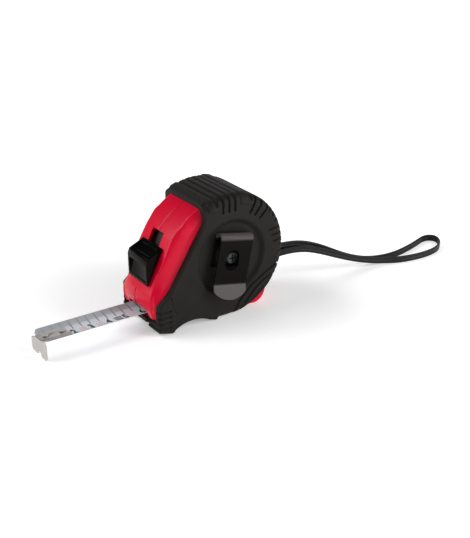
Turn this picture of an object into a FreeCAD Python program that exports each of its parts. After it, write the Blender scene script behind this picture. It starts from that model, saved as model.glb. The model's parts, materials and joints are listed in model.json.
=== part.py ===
"""Pocket tape measure, 3 m by 16 mm blade, with a thumb lock, a brake button, a belt clip and a wrist strap.

Frame, in millimetres: X is the thickness and the belt clip is on +X, the blade comes out along -Y, Z is up.
The origin is on the flat base, below the axis of the spool. The blade is 62 mm out and locked.
Every outline is drawn in the YZ plane, as (y, z) points, and extruded along X.
"""
import FreeCAD, Part
import math
import os

Vector = FreeCAD.Vector

# ---- driving dimensions -------------------------------------------------------------------------
AXIS_Z = 35.0               # height of the spool's axis above the base
GRIP_R = 35.4               # outer radius of the rubber grips
SHELL_R = 33.8              # outer radius of the hard shells, under the rubber
CAVITY_R = 32.0             # inner radius of the hard shells
HALF_WIDTH = 20.1           # side face of the rubber
SHELL_HALF = 17.0           # side face of the hard shells
CAVITY_HALF = 15.2          # inner side face of the hard shells
GRIP_FRONT_Y = -16.7        # the rubber ends here on top of the case
SHOULDER_R = 4.5            # rounding from the rubber's rim to its sides
SHOULDER_START = -104.0     # the rounding starts under the base, 0 at the rear and -90 below the axis
DISH_R = 22.2               # shallow round dish in each side
DISH_DEPTH = 2.1

BLADE_WIDTH = 16.0
BLADE_THICK = 0.2
BLADE_SAG = 1.6             # rise of the blade's edges over its middle
BLADE_BOTTOM_Z = 8.6
BLADE_TIP_Y = -104.3
BLADE_END_Y = -42.5         # inner end of the part that slides, just inside the mouth
RETRACT = 58.0              # travel from the pose drawn to the hook at the mouth

SPOOL_HALF = 8.3            # inner faces of the spool's two flanges
FLANGE_R = 22.4
FLANGE_THICK = 0.9
DRUM_R = 15.8
DRUM_WALL = 1.2
COIL_R = 20.5
POST_R = 3.0
SHAFT_GAP = 0.05

PANEL_TOP = (-33.5, 50.5)   # ends of the straight, slanted part of the front panel
PANEL_LOW = (-46.0, 25.0)
LIP = (-47.5, 12.7)         # lower lip of the front panel, over the mouth
CHEEK = (-45.3, 7.2)        # lowest front corner of the shell, beside the mouth
FRONT_CAVITY_HALF = 9.7     # inner side face of the shells in the nose, where they are bevelled
MOUTH_HALF = 9.6
FLOOR_Z = 5.6               # underside of the shell's floor, below the blade
FLOOR_THICK = 1.4
LOCK_TRAVEL = 6.0

BRAKE_ANGLE = -55.0         # direction of the brake button from the axis, 0 at the rear and -90 below
BRAKE_TRAVEL = 2.0

CLIP_TILT = 11.5            # the clip's top leans to the rear
CLIP_CENTRE = (-0.8, 35.6)
CLIP_WIDTH = 21.0
CLIP_HALF_LENGTH = 13.75    # from the middle to the fold's top, and to the bend of the tongue
CLIP_THICK = 0.8
CLIP_OUTER_X = 23.8

SCREW_PLACES = [(17.0, 56.5), (-16.0, 57.0), (27.4, 36.0), (-27.0, 20.0)]
SCREW_R = 1.1

STRAP_R = 1.3
STRAP_HALF_HEIGHT = 2.4     # both strands leave the anchor this far above and below its middle
STRAP_Z = 18.0
STRAP_START_Y = 27.0
# Middle line of the strap: out at the top of the slot, over a hump, round the loop on the floor, back to the slot
STRAP_ROUTE = [
    (0.0, 27.0, 20.4), (0.0, 38.5, 22.5), (1.2, 49.5, 23.6), (2.9, 61.5, 22.3), (4.8, 73.0, 17.9),
    (6.7, 84.0, 12.0), (8.5, 95.0, 6.7), (10.2, 106.5, 3.2), (11.9, 117.5, 2.1), (12.4, 128.5, 2.1),
    (10.4, 139.5, 2.1), (7.4, 150.5, 2.1), (3.4, 162.0, 2.1), (7.6, 167.4, 2.1), (15.0, 164.2, 2.1),
    (20.8, 156.6, 2.1), (22.8, 146.5, 2.1), (22.2, 135.8, 2.1), (20.2, 125.8, 2.1), (16.6, 116.4, 2.6),
    (14.1, 106.5, 4.2), (11.9, 95.0, 7.5), (9.9, 84.0, 11.7), (7.8, 73.0, 16.4), (5.6, 61.5, 20.2),
    (3.4, 49.5, 20.7), (1.2, 38.5, 18.9), (0.0, 27.0, 15.6),
]

FAR = 60.0                  # well outside the part, for cutting tools


# ---- helpers ------------------------------------------------------------------------------------
def outline(start, *steps):
    """Closed wire in the YZ plane. A step is a point to go to straight, or (through, to) for an arc."""
    edges = []
    here = start
    for step in steps + (start,):
        arc = isinstance(step[0], tuple)
        there = step[1] if arc else step
        if there == here:
            continue
        a = Vector(0, *here)
        b = Vector(0, *there)
        edges.append(Part.Arc(a, Vector(0, *step[0]), b).toShape() if arc else Part.makeLine(a, b))
        here = there
    return Part.Wire(edges)


def extrude(wire, x_low, x_high):
    """Solid between two X planes from a wire in the YZ plane."""
    solid = Part.Face(wire).extrude(Vector(x_high - x_low, 0, 0))
    solid.translate(Vector(x_low, 0, 0))
    return solid


def box(x_low, x_high, y_low, y_high, z_low, z_high):
    return Part.makeBox(x_high - x_low, y_high - y_low, z_high - z_low, Vector(x_low, y_low, z_low))


def cylinder_x(y, z, radius, x_low, x_high):
    return Part.makeCylinder(radius, x_high - x_low, Vector(x_low, y, z), Vector(1, 0, 0))


def ring_x(y, z, inner, outer, x_low, x_high):
    return cylinder_x(y, z, outer, x_low, x_high).cut(cylinder_x(y, z, inner, x_low - 1, x_high + 1))


def circle_top(radius, y):
    """Upper point, as (y, z), where a circle about the spool's axis passes a given y."""
    return (y, AXIS_Z + math.sqrt(radius ** 2 - y ** 2))


def circle_side(radius, z, side):
    """Point where a circle about the spool's axis passes a given z: side -1 is the front, 1 is the rear."""
    return (side * math.sqrt(radius ** 2 - (z - AXIS_Z) ** 2), z)


def mirrored(shape):
    return shape.mirror(Vector(0, 0, 0), Vector(1, 0, 0))


def panel_direction():
    """Unit vector up the slanted front panel, and the panel's outward normal, as (y, z)."""
    dy = PANEL_TOP[0] - PANEL_LOW[0]
    dz = PANEL_TOP[1] - PANEL_LOW[1]
    length = math.hypot(dy, dz)
    return (dy / length, dz / length), (-dz / length, dy / length)


def on_panel(along, proud):
    """(y, z) of a point given by its distance up the panel from PANEL_TOP and its height over the panel."""
    up, out = panel_direction()
    return (PANEL_TOP[0] + along * up[0] + proud * out[0], PANEL_TOP[1] + along * up[1] + proud * out[1])


def panel_strip(x_half, along_low, along_high, proud_low, proud_high):
    corners = [on_panel(along_low, proud_low), on_panel(along_high, proud_low),
               on_panel(along_high, proud_high), on_panel(along_low, proud_high)]
    return extrude(outline(*corners), -x_half, x_half)


def at_brake(shape):
    """Turns a shape drawn along +Y at the axis into the direction of the brake button."""
    shape.rotate(Vector(0, 0, AXIS_Z), Vector(1, 0, 0), BRAKE_ANGLE)
    return shape


def brake_box(x_low, x_high, radial_low, radial_high, half_tangent):
    return at_brake(box(x_low, x_high, radial_low, radial_high, AXIS_Z - half_tangent, AXIS_Z + half_tangent))


# ---- outlines of the case -----------------------------------------------------------------------
def shell_outline():
    top = circle_top(SHELL_R, GRIP_FRONT_Y)
    floor_rear = circle_side(SHELL_R, FLOOR_Z, -1)
    return outline(CHEEK, LIP, ((-48.3, 18.6), PANEL_LOW), PANEL_TOP, ((-26.6, 58.0), top),
                   ((SHELL_R, AXIS_Z), floor_rear), (-42.8, FLOOR_Z))


def cavity_outline():
    floor_z = FLOOR_Z + FLOOR_THICK
    top = circle_top(CAVITY_R, -17.0)
    floor_rear = circle_side(CAVITY_R, floor_z, -1)
    wall = SHELL_R - CAVITY_R
    return outline((-43.4, 8.6), (-45.7, 13.0), ((-46.5, 18.4), on_panel(-28.4, -wall)), on_panel(0, -wall),
                   ((-25.55, 56.95), top), ((CAVITY_R, AXIS_Z), floor_rear), (-42.6, floor_z))


def wide_cavity():
    """The room beside the spool: it ends behind the bevels, where the shell narrows towards the front."""
    round_room = cylinder_x(0, AXIS_Z, CAVITY_R, -1, CAVITY_HALF)
    beside_bevel = extrude(outline((-13.6, 60.0), (-37.0, 22.0), (-37.0, 0.0), (-FAR, 0.0), (-FAR, FAR + AXIS_Z),
                                   (-13.6, FAR + AXIS_Z)), -2, FAR)
    return round_room.cut(beside_bevel)


def grip_outline():
    """Outside of the rubber: toe, heel, arch, flat base, round back and top, then down behind the panel."""
    flat_rear = circle_side(GRIP_R, 0.0, 1)
    top = circle_top(GRIP_R, GRIP_FRONT_Y)
    return outline((-45.6, 2.0), (-37.6, 0.0), (-36.4, 0.0), (-35.0, 1.6), ((-24.0, 4.2), (-14.0, 1.4)),
                   (-9.5, 0.0), flat_rear, ((GRIP_R, AXIS_Z), top), (GRIP_FRONT_Y, 57.2), (-38.2, 23.3),
                   (-45.2, 17.4), (-45.6, 14.6))


# ---- case ---------------------------------------------------------------------------------------
def lock_slot():
    return panel_strip(5.4, -21.5, 1.2, -4.0, 3.0)


def mouth():
    return box(-MOUTH_HALF, MOUTH_HALF, -FAR, -40.0, FLOOR_Z + FLOOR_THICK, LIP[1])


def strap_slot():
    return box(-3.4, 3.4, 24.0, 40.0, 13.8, 24.4)


def brake_hole():
    return brake_box(-14.9, 14.9, 28.0, 42.0, 6.4)


def front_bevel():
    """Wedge taken off the right front edge: it narrows the front face from top to bottom."""
    levels = [(5.0, -45.0, 10.3, -38.6), (16.0, -48.2, 10.3, -38.6), (24.0, -46.6, 10.4, -38.6),
              (50.5, -33.6, 12.8, -21.0), (58.0, -26.6, 13.8, -16.6), (66.0, -12.0, 14.8, -6.0)]
    sections = []
    for z, front_y, edge_x, side_y in levels:
        a = Vector(edge_x, front_y - 0.6, z)
        b = Vector(SHELL_HALF + 0.6, side_y, z)
        c = Vector(SHELL_HALF + 0.6, front_y - 8.0, z)
        sections.append(Part.makePolygon([a, b, c, a]))
    return Part.makeLoft(sections, True, True)


def shell_half():
    """Right half of the hard case, with its cavity, the boss of the axle and the screw posts."""
    shell = extrude(shell_outline(), 0, SHELL_HALF)
    shell = shell.cut(front_bevel())
    shell = shell.cut([extrude(cavity_outline(), -1, FRONT_CAVITY_HALF), wide_cavity()])
    boss = cylinder_x(0, AXIS_Z, 6.0, 10.0, CAVITY_HALF)
    shelf = brake_box(10.8, CAVITY_HALF, 24.0, 25.4, 3.0)
    posts = [cylinder_x(y, z, 2.8, 0, CAVITY_HALF) for y, z in SCREW_PLACES]
    return shell.fuse([boss, shelf] + posts)


def common_openings():
    return [lock_slot(), mouth(), strap_slot(), brake_hole(), cylinder_x(0, AXIS_Z, POST_R, -CAVITY_HALF, CAVITY_HALF)]


def make_case_right():
    clip_hole = cylinder_x(0, AXIS_Z, 1.6, CAVITY_HALF - 1, SHELL_HALF + 1)
    pilots = [cylinder_x(y, z, SCREW_R, -1, 10.0) for y, z in SCREW_PLACES]
    return shell_half().cut(common_openings() + [clip_hole] + pilots)


def make_case_left():
    holes = [cylinder_x(y, z, SCREW_R + 0.2, -FAR, 1) for y, z in SCREW_PLACES]
    recesses = [cylinder_x(y, z, 2.7, -FAR, -13.0) for y, z in SCREW_PLACES]
    return mirrored(shell_half()).cut(common_openings() + holes + recesses)


def shoulder_waste():
    """What is taken off the rim's outer corner, from below the spool round the back to the grip's front edge."""
    wide = HALF_WIDTH + 1
    tall = GRIP_R + 1
    centre = (HALF_WIDTH - SHOULDER_R, GRIP_R - SHOULDER_R)
    mid = (centre[0] + SHOULDER_R * math.sqrt(0.5), centre[1] + SHOULDER_R * math.sqrt(0.5))

    def p(x, radial):
        return Vector(x, radial, AXIS_Z)

    arc = Part.Arc(p(centre[0], GRIP_R), p(*mid), p(HALF_WIDTH, centre[1])).toShape()
    rest = Part.makePolygon([p(HALF_WIDTH, centre[1]), p(wide, centre[1]), p(wide, tall), p(centre[0], tall),
                             p(centre[0], GRIP_R)])
    profile = Part.Face(Part.Wire([arc] + rest.Edges))
    front = math.degrees(math.atan2(circle_top(GRIP_R, GRIP_FRONT_Y)[1] - AXIS_Z, GRIP_FRONT_Y))
    profile.rotate(Vector(0, 0, AXIS_Z), Vector(1, 0, 0), SHOULDER_START)
    return profile.revolve(Vector(0, 0, AXIS_Z), Vector(1, 0, 0), front + 1.0 - SHOULDER_START)


def grip_half():
    """Right rubber grip: a side plate, a rim over the shell, half of the foot with one toe, and the dish."""
    grip = extrude(grip_outline(), 0, HALF_WIDTH)
    dish = Part.makeCone(DISH_R - 2.6, DISH_R, DISH_DEPTH, Vector(HALF_WIDTH - DISH_DEPTH, 0, AXIS_Z), Vector(1, 0, 0))
    toe_gap = box(-1, 8.4, -FAR, -36.0, -1, FLOOR_Z)
    return grip.cut([extrude(shell_outline(), -1, SHELL_HALF), shoulder_waste(), dish, toe_gap, mouth(), strap_slot(),
                     brake_hole()])


def make_grip_right():
    return grip_half().cut(cylinder_x(0, AXIS_Z, 1.6, SHELL_HALF - 1, HALF_WIDTH))


def make_grip_left():
    heads = [cylinder_x(y, z, 2.7, -FAR, -13.0) for y, z in SCREW_PLACES]
    return mirrored(grip_half()).cut(heads)


def make_mouth_plate():
    plate = extrude(outline((-44.6, 3.2), (-43.8, 2.4), (-36.2, 2.4), (-36.2, FLOOR_Z), (-42.8, FLOOR_Z),
                            (-44.6, FLOOR_Z)), -8.3, 8.3)
    return plate


def make_hook_bumper():
    return box(-6.0, 6.0, -45.4, -44.6, 3.4, FLOOR_Z)


def make_case_screws():
    """Countersunk-bottom pan screws through the left half into the posts of the right half."""
    screws = []
    for y, z in SCREW_PLACES:
        head = cylinder_x(y, z, 2.3, -14.9, -13.0)
        shank = cylinder_x(y, z, SCREW_R, -13.0, 8.5)
        cross = box(-15.5, -14.0, y - 1.4, y + 1.4, z - 0.3, z + 0.3)
        cross = cross.fuse(box(-15.5, -14.0, y - 0.3, y + 0.3, z - 1.4, z + 1.4))
        screws.append(head.fuse(shank).cut(cross))
    return Part.makeCompound(screws)


# ---- spool --------------------------------------------------------------------------------------
def make_axle_post():
    post = cylinder_x(0, AXIS_Z, POST_R, -CAVITY_HALF, CAVITY_HALF)
    slit = box(-7.5, 7.5, -POST_R - 1, 0.4, AXIS_Z - 0.4, AXIS_Z + 0.4)
    return post.cut([slit, cylinder_x(0, AXIS_Z, 1.5, 5.0, FAR)])


def make_spool():
    drum = ring_x(0, AXIS_Z, DRUM_R - DRUM_WALL, DRUM_R, -SPOOL_HALF, SPOOL_HALF)
    flange = ring_x(0, AXIS_Z, POST_R + SHAFT_GAP, FLANGE_R, -SPOOL_HALF - FLANGE_THICK, -SPOOL_HALF)
    return drum.fuse(flange)


def make_spool_cover():
    return ring_x(0, AXIS_Z, POST_R + SHAFT_GAP, FLANGE_R, SPOOL_HALF, SPOOL_HALF + FLANGE_THICK)


def make_blade_coil():
    return ring_x(0, AXIS_Z, DRUM_R, COIL_R, -BLADE_WIDTH / 2, BLADE_WIDTH / 2)


def make_mainspring():
    """Spiral power spring in the drum: half turns whose centres alternate, so that each turn is wider."""
    turns = 8
    thick = 0.35
    first_r = POST_R + 0.6
    last_r = DRUM_R - DRUM_WALL - thick - 0.05
    step = (last_r - first_r) / (2 * turns)
    side = {}
    for name, grow in (("inner", 0.0), ("outer", thick)):
        edges = []
        y_here = first_r + grow
        for i in range(2 * turns):
            radius = first_r + grow + i * step + step / 2
            sign = 1 if i % 2 == 0 else -1
            centre_y = y_here - sign * radius
            y_next = centre_y - sign * radius
            edges.append(Part.Arc(Vector(0, y_here, AXIS_Z), Vector(0, centre_y, AXIS_Z + sign * radius),
                                  Vector(0, y_next, AXIS_Z)).toShape())
            y_here = y_next
        side[name] = (edges, y_here)
    start = Part.makeLine(Vector(0, first_r, AXIS_Z), Vector(0, first_r + thick, AXIS_Z))
    end = Part.makeLine(Vector(0, side["inner"][1], AXIS_Z), Vector(0, side["outer"][1], AXIS_Z))
    wire = Part.Wire(Part.__sortEdges__(side["inner"][0] + side["outer"][0] + [start, end]))
    return extrude(wire, -7.0, 7.0)


# ---- blade --------------------------------------------------------------------------------------
BLADE_OUT_R = ((BLADE_WIDTH / 2) ** 2 + BLADE_SAG ** 2) / (2 * BLADE_SAG)
BLADE_CURVE_Z = BLADE_BOTTOM_Z + BLADE_OUT_R


def curved_strip(inner, outer, x_low, x_high, y_low, y_high):
    """Strip that lies in the blade's hollow: part of a tube about an axis high above the blade."""
    tube = Part.makeCylinder(outer, y_high - y_low, Vector(0, y_low, BLADE_CURVE_Z), Vector(0, 1, 0))
    tube = tube.cut(Part.makeCylinder(inner, y_high - y_low + 2, Vector(0, y_low - 1, BLADE_CURVE_Z), Vector(0, 1, 0)))
    return tube.common(box(x_low, x_high, y_low, y_high, 0, BLADE_CURVE_Z))


RIVET_X = -0.4
RIVET_YS = (-100.7, -91.2)
RIVET_R = 1.0
TAB_THICK = 0.55
TAB_GAP = 0.05
HEAD_GAP = 0.18             # the flat heads stay clear of the curved tab
HOOK_PLAY = 0.8
HOOK_FRONT_Y = -105.2
# Front view of the hook's plate, as (x, z), clockwise from the lower left corner
HOOK_PLATE = [(-6.6, 0.1), (-7.8, 1.3), (-7.8, 7.2), (-6.8, 7.7), (-4.4, 8.2), (-3.2, 9.2), (-3.2, 11.6),
              (7.4, 11.6), (8.2, 10.5), (9.4, 9.1), (9.4, 1.3), (8.2, 0.1)]


def rivet_cylinder(radius, low, high, y):
    """Cylinder across the blade at RIVET_X, from one height over the blade's underside to another."""
    body = Part.makeCylinder(radius, high - low, Vector(0, y, BLADE_BOTTOM_Z + low), Vector(0, 0, 1))
    angle = math.degrees(math.asin(RIVET_X / BLADE_OUT_R))
    body.rotate(Vector(0, y, BLADE_CURVE_Z), Vector(0, 1, 0), -angle)
    return body


def make_blade():
    half = BLADE_WIDTH / 2
    blade = curved_strip(BLADE_OUT_R - BLADE_THICK, BLADE_OUT_R, -half, half, BLADE_TIP_Y, BLADE_END_Y)
    for side in (-1, 1):
        corner = [Vector(side * (half + 1), BLADE_TIP_Y - 1, 0), Vector(side * (half - 3), BLADE_TIP_Y - 1, 0),
                  Vector(side * (half + 1), BLADE_TIP_Y + 3, 0)]
        blade = blade.cut(Part.Face(Part.makePolygon(corner + corner[:1])).extrude(Vector(0, 0, AXIS_Z)))
    return blade.cut([rivet_cylinder(RIVET_R, -1, 2, y) for y in RIVET_YS])


def make_hook_rivets():
    rivets = []
    over_tab = BLADE_THICK + TAB_GAP + TAB_THICK + HEAD_GAP
    for y in RIVET_YS:
        shank = rivet_cylinder(RIVET_R, -0.4, over_tab + 0.5, y)
        upper = rivet_cylinder(1.9, over_tab, over_tab + 0.5, y)
        lower = rivet_cylinder(1.9, -0.45, 0.0, y)
        cut_flat = curved_strip(1.0, BLADE_OUT_R, -9, 9, y - 3, y + 3)
        rivets.append(shank.fuse([upper, lower.cut(cut_flat)]).removeSplitter())
    return Part.makeCompound(rivets)


def make_end_hook():
    """Bent plate at the blade's tip, with a tab over the blade and two slots that let it slide by its thickness."""
    tab_r = BLADE_OUT_R - BLADE_THICK - TAB_GAP
    tab_low, tab_high, tab_end = -3.2, 7.4, -88.6
    footprint = box(tab_low, tab_high, HOOK_FRONT_Y, tab_end, 0, AXIS_Z)
    for x, radius in ((tab_low, 3.0), (tab_high, 2.0)):
        corner = [e for e in footprint.Edges if e.BoundBox.YMin > tab_end - 0.1 and abs(e.BoundBox.Center.x - x) < 0.1
                  and e.BoundBox.ZLength > 1]
        footprint = footprint.makeFillet(radius, corner)
    tab = curved_strip(tab_r - TAB_THICK, tab_r, tab_low, tab_high, HOOK_FRONT_Y, tab_end).common(footprint)
    points = [Vector(x, HOOK_FRONT_Y, z) for x, z in HOOK_PLATE]
    plate = Part.Face(Part.makePolygon(points + points[:1])).extrude(Vector(0, BLADE_TIP_Y - 0.1 - HOOK_FRONT_Y, 0))
    hollow = Part.makeCylinder(tab_r - TAB_THICK, 4, Vector(0, -107, BLADE_CURVE_Z), Vector(0, 1, 0))
    notch = Part.makeCylinder(2.3, 4, Vector(1.0, -107, 0.45), Vector(0, 1, 0))
    hook = tab.fuse(plate.cut([hollow, notch]))
    for y in RIVET_YS:
        hook = hook.cut([rivet_cylinder(RIVET_R + 0.1, -1, 4, y), rivet_cylinder(RIVET_R + 0.1, -1, 4, y + HOOK_PLAY)])
        middle = box(-RIVET_R - 0.1, RIVET_R + 0.1, y, y + HOOK_PLAY, BLADE_BOTTOM_Z - 1, BLADE_BOTTOM_Z + 4)
        angle = math.degrees(math.asin(RIVET_X / BLADE_OUT_R))
        middle.rotate(Vector(0, y, BLADE_CURVE_Z), Vector(0, 1, 0), -angle)
        hook = hook.cut(middle)
    return hook


def make_blade_lead():
    """The stretch that comes off the coil, flattened, and runs down to the mouth over the sliding blade."""
    thick = BLADE_THICK
    return extrude(outline((-43.4, 11.0), (-3.4, 13.9), (-3.4, 13.9 + thick), (-43.4, 11.0 + thick)), -7.8, 7.8)


# ---- lock ---------------------------------------------------------------------------------------
def make_lock_button():
    """Wedge under the thumb: it slides on the slanted panel, and its neck goes through the slot."""
    wedge = extrude(outline(on_panel(-6.0, 0.3), on_panel(-13.6, 6.6), on_panel(-16.4, 6.35), on_panel(-27.5, 0.75),
                            on_panel(-27.6, 0.3)), -10.0, 10.0)
    neck = panel_strip(4.0, -21.0, -12.0, -3.5, 0.3)
    return wedge.fuse(neck).removeSplitter()


def make_lock_tongue():
    return panel_strip(4.8, -31.0, 0.2, -4.7, -3.5)


def make_lock_pad():
    """Rubber shoe at the foot of the tongue, just over the blade at the mouth."""
    return extrude(outline(on_panel(-31.0, -3.5), on_panel(-31.0, -4.7), (-39.5, 15.0), (-39.5, 12.1),
                           (-44.2, 12.1), (-44.9, 16.0)), -5.0, 5.0)


# ---- brake --------------------------------------------------------------------------------------
def make_brake_button():
    """Rounded bar in the lower rear of the case. It is hollow below, where the blade's end passes."""
    head = brake_box(-14.5, 14.5, 30.8, 41.0, 6.0)
    crown = at_brake(Part.makeCylinder(7.5, 29.0, Vector(-14.5, 33.1, AXIS_Z), Vector(1, 0, 0)))
    lugs = [brake_box(-14.7, -9.4, 29.4, 30.8, 7.2), brake_box(9.4, 14.7, 29.4, 30.8, 7.2)]
    stem = at_brake(box(-6.0, 6.0, 26.3, 31.0, AXIS_Z - 0.5, AXIS_Z + 3.0))
    passage = at_brake(box(-8.8, 8.8, 26.0, 33.8, AXIS_Z - 8.0, AXIS_Z - 1.0))
    return head.common(crown).fuse(lugs + [stem]).cut(passage).removeSplitter()


def make_brake_pad():
    return brake_box(-9.4, 9.4, 24.8, 26.3, 3.0)


def make_brake_springs():
    """Two small coil springs between the case's shelves and the button's flange."""
    springs = []
    wire_r = 0.2
    coil_r = 1.4
    for x in (-12.9, 12.9):
        helix = Part.makeHelix(0.98, 3.42, coil_r)
        section = Part.Wire(Part.makeCircle(wire_r, Vector(coil_r, 0, 0), Vector(0, 1, 0)))
        spring = Part.Wire(helix).makePipeShell([section], True, True)
        spring.rotate(Vector(0, 0, 0), Vector(1, 0, 0), -90)
        spring.translate(Vector(x, 25.4 + 0.25, AXIS_Z))
        springs.append(at_brake(spring))
    return Part.makeCompound(springs)


# ---- belt clip ----------------------------------------------------------------------------------
def driver_hole():
    """Oblong hole in the outer leaf, along the clip, through which the screw is driven."""
    lean = math.radians(CLIP_TILT)
    middle = (-2.0, AXIS_Z + 0.1)
    radius, reach = 4.2, 1.45

    def p(across, along):
        return (middle[0] + across * math.cos(lean) + along * math.sin(lean),
                middle[1] - across * math.sin(lean) + along * math.cos(lean))

    wire = outline(p(radius, reach), (p(0, reach + radius), p(-radius, reach)), p(-radius, -reach),
                   (p(0, -reach - radius), p(radius, -reach)))
    return extrude(wire, CLIP_OUTER_X - 2 * CLIP_THICK, FAR)


def make_belt_clip():
    """Steel strip folded over at the top: an inner leaf under the screw, an outer leaf, and a flared tongue."""
    inner_face = HALF_WIDTH - DISH_DEPTH
    fold_r = (CLIP_OUTER_X - inner_face) / 2
    fold_x = inner_face + fold_r
    top = CLIP_HALF_LENGTH - fold_r
    tongue_low = -22.2
    flare = 3.0
    t = CLIP_THICK

    def p(x, v):
        return Vector(x, 0, v)

    outer = [p(CLIP_OUTER_X, top), p(CLIP_OUTER_X, -CLIP_HALF_LENGTH), p(CLIP_OUTER_X + flare, tongue_low)]
    inner = [p(CLIP_OUTER_X + flare - t, tongue_low), p(CLIP_OUTER_X - t, -CLIP_HALF_LENGTH), p(CLIP_OUTER_X - t, top)]
    edges = [Part.makeLine(outer[0], outer[1]), Part.makeLine(outer[1], outer[2]), Part.makeLine(outer[2], inner[0]),
             Part.makeLine(inner[0], inner[1]), Part.makeLine(inner[1], inner[2]),
             Part.Arc(inner[2], p(fold_x, top + fold_r - t), p(inner_face + t, top)).toShape(),
             Part.makeLine(p(inner_face + t, top), p(inner_face + t, -6.0)),
             Part.makeLine(p(inner_face + t, -6.0), p(inner_face, -6.0)),
             Part.makeLine(p(inner_face, -6.0), p(inner_face, top)),
             Part.Arc(p(inner_face, top), p(fold_x, top + fold_r), outer[0]).toShape()]
    strip = Part.Face(Part.Wire(edges)).extrude(Vector(0, CLIP_WIDTH, 0))
    strip.translate(Vector(0, -CLIP_WIDTH / 2, 0))
    rounded_end = cylinder_x(0, tongue_low + 15.0, 15.0, 0, FAR).fuse(
        box(0, FAR, -FAR, FAR, -CLIP_HALF_LENGTH - 2.0, FAR))
    strip = strip.common(rounded_end)
    strip.rotate(Vector(0, 0, 0), Vector(1, 0, 0), -CLIP_TILT)
    strip.translate(Vector(0, *CLIP_CENTRE))
    screw_hole = cylinder_x(0, AXIS_Z, 1.7, 0, CLIP_OUTER_X - 2 * t)
    return strip.cut([screw_hole, driver_hole()])


def make_clip_screw():
    seat = HALF_WIDTH - DISH_DEPTH + CLIP_THICK
    head = cylinder_x(0, AXIS_Z, 3.4, seat, seat + 1.9)
    head = head.makeChamfer(0.6, [e for e in head.Edges if e.BoundBox.XMin > seat + 1.8])
    cross = box(seat + 0.8, FAR, -2.0, 2.0, AXIS_Z - 0.45, AXIS_Z + 0.45)
    cross = cross.fuse(box(seat + 0.8, FAR, -0.45, 0.45, AXIS_Z - 2.0, AXIS_Z + 2.0))
    return head.fuse(cylinder_x(0, AXIS_Z, 1.45, 6.0, seat)).cut(cross)


# ---- strap --------------------------------------------------------------------------------------
def make_strap_anchor():
    return box(-3.4, 3.4, 24.4, STRAP_START_Y, 14.0, 22.5)


def tube_along(route, radius):
    """Tube of straight runs and tangent arcs: each arc is as large as the two runs beside it allow."""
    points = [Vector(*p) for p in route]
    runs = [(b - a).Length for a, b in zip(points, points[1:])]
    solids = []
    radii = []
    length = 0.0
    here = points[0]
    for i in range(1, len(points) - 1):
        back = (points[i - 1] - points[i]).normalize()
        ahead = (points[i + 1] - points[i]).normalize()
        turn = math.pi - back.getAngle(ahead)
        reach = 0.45 * min(runs[i - 1], runs[i])
        arc_r = reach / math.tan(turn / 2)
        radii.append(arc_r)
        start = points[i] + back * reach
        end = points[i] + ahead * reach
        centre = points[i] + (back + ahead).normalize() * math.hypot(reach, arc_r)
        run = start - here
        solids.append(Part.makeCylinder(radius, run.Length, here, run))
        axis = (start - centre).cross(end - centre)
        disc = Part.Face(Part.Wire(Part.makeCircle(radius, start, back)))
        solids.append(disc.revolve(centre, axis, math.degrees(turn)))
        length += run.Length + arc_r * turn
        here = end
    run = points[-1] - here
    solids.append(Part.makeCylinder(radius, run.Length, here, run))
    length += run.Length
    tube = solids[0].multiFuse(solids[1:]).removeSplitter()
    print("strap arc radii, mm:", " ".join("%.1f" % r for r in radii))
    print("strap length %.1f mm, volume %.1f, section times length %.1f"
          % (length, tube.Volume, math.pi * radius ** 2 * length))
    return tube


def make_wrist_strap():
    return tube_along(STRAP_ROUTE, STRAP_R)


# ---- export -------------------------------------------------------------------------------------
PARTS = {
    "case_right": make_case_right,
    "case_left": make_case_left,
    "grip_right": make_grip_right,
    "grip_left": make_grip_left,
    "mouth_plate": make_mouth_plate,
    "hook_bumper": make_hook_bumper,
    "case_screws": make_case_screws,
    "axle_post": make_axle_post,
    "spool": make_spool,
    "spool_cover": make_spool_cover,
    "blade_coil": make_blade_coil,
    "mainspring": make_mainspring,
    "blade_lead": make_blade_lead,
    "blade": make_blade,
    "hook_rivets": make_hook_rivets,
    "end_hook": make_end_hook,
    "lock_button": make_lock_button,
    "lock_tongue": make_lock_tongue,
    "lock_pad": make_lock_pad,
    "brake_button": make_brake_button,
    "brake_pad": make_brake_pad,
    "brake_springs": make_brake_springs,
    "belt_clip": make_belt_clip,
    "clip_screw": make_clip_screw,
    "strap_anchor": make_strap_anchor,
    "wrist_strap": make_wrist_strap,
}

os.makedirs("parts", exist_ok=True)
for name, make in PARTS.items():
    shape = make()
    bad = [s for s in shape.Solids if not s.isValid()]
    print("%-14s solids %d, volume %.1f mm3%s" % (name, len(shape.Solids), shape.Volume, ", NOT VALID" if bad else ""))
    shape.exportStep("parts/%s.step" % name)
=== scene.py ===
"""Pocket tape measure: the looks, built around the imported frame.

Lengths are in mm here, and scaled by MM; those of the camera, the lights and the floor are in metres.
+X is the side with the belt clip, the blade comes out along -Y, +Z is up, and the spool turns about X at AXIS.
"""
import json
import math

import bmesh
import bpy
import numpy as np
from mathutils import Matrix, Vector


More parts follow.
